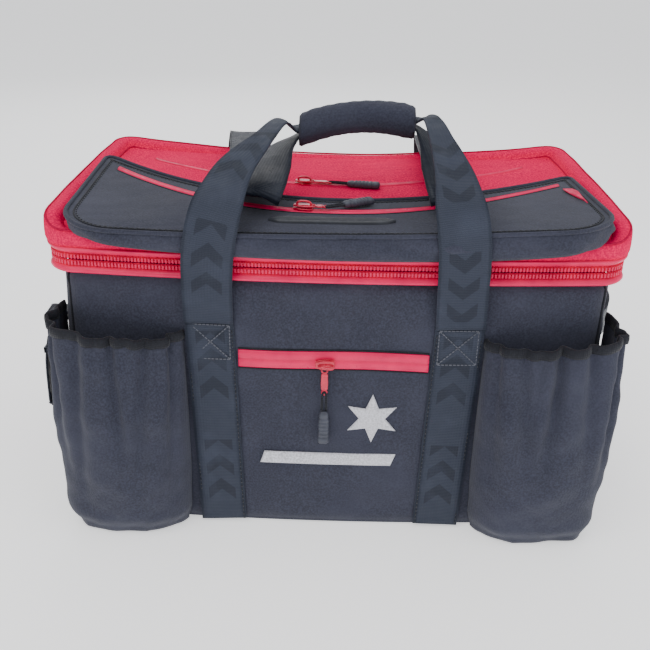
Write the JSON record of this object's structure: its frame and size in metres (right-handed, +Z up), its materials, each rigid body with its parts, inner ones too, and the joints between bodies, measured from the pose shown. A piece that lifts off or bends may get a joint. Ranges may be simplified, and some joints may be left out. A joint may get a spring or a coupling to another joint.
{
  "type": "hockey equipment bag",
  "caption": "Box-shaped padded kit bag with a zipped lid, a zipped pocket on the lid, open bellows pockets, a zipped front pocket and two webbing handles joined by a soft grip.",
  "frame": {"origin": "middle of the underside of the base, on the ground", "axes": "+Z up; +X towards the bag's right end as seen from the front; -Y towards the front, where the webbing straps and the front pocket are"},
  "size_m": [0.5179, 0.3174, 0.356],
  "materials": {
    "charcoal_fabric": "woven polyester with a light coating, matt",
    "crimson_fabric": "woven polyester, soft matt",
    "coated_zip_tape": "polyurethane-coated zip tape, glossy",
    "zip_teeth": "moulded zip teeth",
    "webbing": "ribbed polyester webbing, slight sheen",
    "lining": "thin lining fabric",
    "foam": "closed-cell foam",
    "board": "semi-rigid plastic board",
    "embroidery": "satin stitching",
    "red_metal": "painted die-cast metal, glossy",
    "moulded_rubber": "moulded soft plastic, satin"
  },
  "bodies": {
    "bag_body": {"front_panel": "charcoal_fabric", "back_panel": "charcoal_fabric", "left_end_panel": "charcoal_fabric", "right_end_panel": "charcoal_fabric", "base_panel": "charcoal_fabric", "base_board": "board", "front_foam": "foam", "back_foam": "foam", "left_end_foam": "foam", "right_end_foam": "foam", "body_lining": "lining", "lower_zip_tape": "coated_zip_tape", "lower_zip_teeth": "zip_teeth", "hinge_strip": "crimson_fabric", "front_zip_tape": "coated_zip_tape", "front_left_webbing": "webbing", "front_right_webbing": "webbing", "back_left_webbing": "webbing", "back_right_webbing": "webbing", "left_bellows_pocket": "charcoal_fabric", "right_bellows_pocket": "charcoal_fabric", "left_pocket_binding": "charcoal_fabric", "right_pocket_binding": "charcoal_fabric", "left_ring_tab": "webbing", "right_grab_handle": "webbing", "badge_star": "embroidery", "badge_bar": "embroidery"},
    "lid": {"lid_band": "crimson_fabric", "lid_panel": "crimson_fabric", "lid_foam": "foam", "lid_lining": "lining", "upper_zip_tape": "coated_zip_tape", "upper_zip_teeth": "zip_teeth", "lid_rim_roll": "crimson_fabric", "lid_pocket_body": "charcoal_fabric", "lid_pocket_top": "charcoal_fabric", "lid_pocket_piping": "charcoal_fabric", "lid_pocket_zip_tape": "coated_zip_tape", "lid_rear_zip_tape": "coated_zip_tape", "lid_grab_strip": "moulded_rubber"},
    "front_handle": {"front_handle_webbing": "webbing"},
    "rear_handle": {"rear_handle_webbing": "webbing", "grip_wrap": "charcoal_fabric"},
    "left_ring": {"left_ring": "red_metal", "left_hanging_loop": "webbing"},
    "front_pocket_slider": {"front_pocket_slider": "red_metal"},
    "front_pocket_pull": {"front_pocket_pull_tab": "red_metal", "front_pocket_pull": "moulded_rubber"},
    "lid_pocket_slider": {"lid_pocket_slider": "red_metal"},
    "lid_pocket_pull": {"lid_pocket_pull_tab": "red_metal", "lid_pocket_pull": "moulded_rubber"},
    "lid_rear_slider": {"lid_rear_slider": "red_metal"},
    "lid_rear_pull": {"lid_rear_pull_tab": "red_metal", "lid_rear_pull": "moulded_rubber"},
    "main_front_slider": {"main_front_slider": "red_metal"},
    "main_front_pull": {"main_front_pull_tab": "red_metal", "main_front_pull": "moulded_rubber"},
    "main_back_slider": {"main_back_slider": "red_metal"},
    "main_back_pull": {"main_back_pull_tab": "red_metal", "main_back_pull": "moulded_rubber"}
  },
  "joints": [
    {"name": "lid_hinge", "type": "hinge", "parent": "bag_body", "child": "lid", "pos_m": [0, 0.1372, 0.25], "axis": [-1, 0, 0], "range_deg": [0, 100]},
    {"name": "front_handle_swing", "type": "hinge", "parent": "bag_body", "child": "front_handle", "pos_m": [0, -0.1445, 0.202], "axis": [1, 0, 0], "range_deg": [0, 180], "deforming": ["front_handle_webbing"]},
    {"name": "rear_handle_swing", "type": "hinge", "parent": "bag_body", "child": "rear_handle", "pos_m": [0, 0.1395, 0.2405], "axis": [-1, 0, 0], "range_deg": [0, 190], "deforming": ["rear_handle_webbing"]},
    {"name": "left_ring_swing", "type": "hinge", "parent": "bag_body", "child": "left_ring", "pos_m": [-0.248, -0.09, 0.1815], "axis": [0, 1, 0], "range_deg": [0, 150]},
    {"name": "front_pocket_slider_run", "type": "slide", "parent": "bag_body", "child": "front_pocket_slider", "axis": [1, 0, 0], "range_m": [-0.058, 0.07]},
    {"name": "front_pocket_pull_swing", "type": "hinge", "parent": "front_pocket_slider", "child": "front_pocket_pull", "pos_m": [-0.007, -0.1485, 0.1615], "axis": [-1, 0, 0], "range_deg": [0, 130]},
    {"name": "lid_pocket_slider_run", "type": "hinge", "parent": "lid", "child": "lid_pocket_slider", "pos_m": [0, 0.12286, 0.29583], "axis": [0, -0.0617, 0.9981], "range_deg": [-20, 34]},
    {"name": "lid_pocket_pull_swing", "type": "hinge", "parent": "lid_pocket_slider", "child": "lid_pocket_pull", "pos_m": [-0.01904, -0.10037, 0.28724], "axis": [-0.1236, -0.9923, 0], "range_deg": [0, 105]},
    {"name": "lid_rear_slider_run", "type": "hinge", "parent": "lid", "child": "lid_rear_slider", "pos_m": [0, 0.21553, 0.2715], "axis": [0, 0, 1], "range_deg": [-21, 38]},
    {"name": "lid_rear_pull_swing", "type": "hinge", "parent": "lid_rear_slider", "child": "lid_rear_pull", "pos_m": [-0.0231, 0.00608, 0.2767], "axis": [-0.1503, -0.9886, 0], "range_deg": [0, 105]},
    {"name": "main_front_slider_run", "type": "slide", "parent": "bag_body", "child": "main_front_slider", "axis": [0, -1, 0], "range_m": [0, 0.09]},
    {"name": "main_front_pull_swing", "type": "hinge", "parent": "main_front_slider", "child": "main_front_pull", "pos_m": [0.2381, -0.012, 0.2445], "axis": [0, -1, 0], "range_deg": [0, 140]},
    {"name": "main_back_slider_run", "type": "slide", "parent": "bag_body", "child": "main_back_slider", "axis": [0, 1, 0], "range_m": [0, 0.085]},
    {"name": "main_back_pull_swing", "type": "hinge", "parent": "main_back_slider", "child": "main_back_pull", "pos_m": [0.2381, 0.012, 0.2445], "axis": [0, -1, 0], "range_deg": [0, 140]}
  ],
  "couplings": [
    {"joint": "front_handle_swing", "follows": "lid_hinge", "ratio": 1.8},
    {"joint": "rear_handle_swing", "follows": "lid_hinge", "ratio": 1.9}
  ]
}
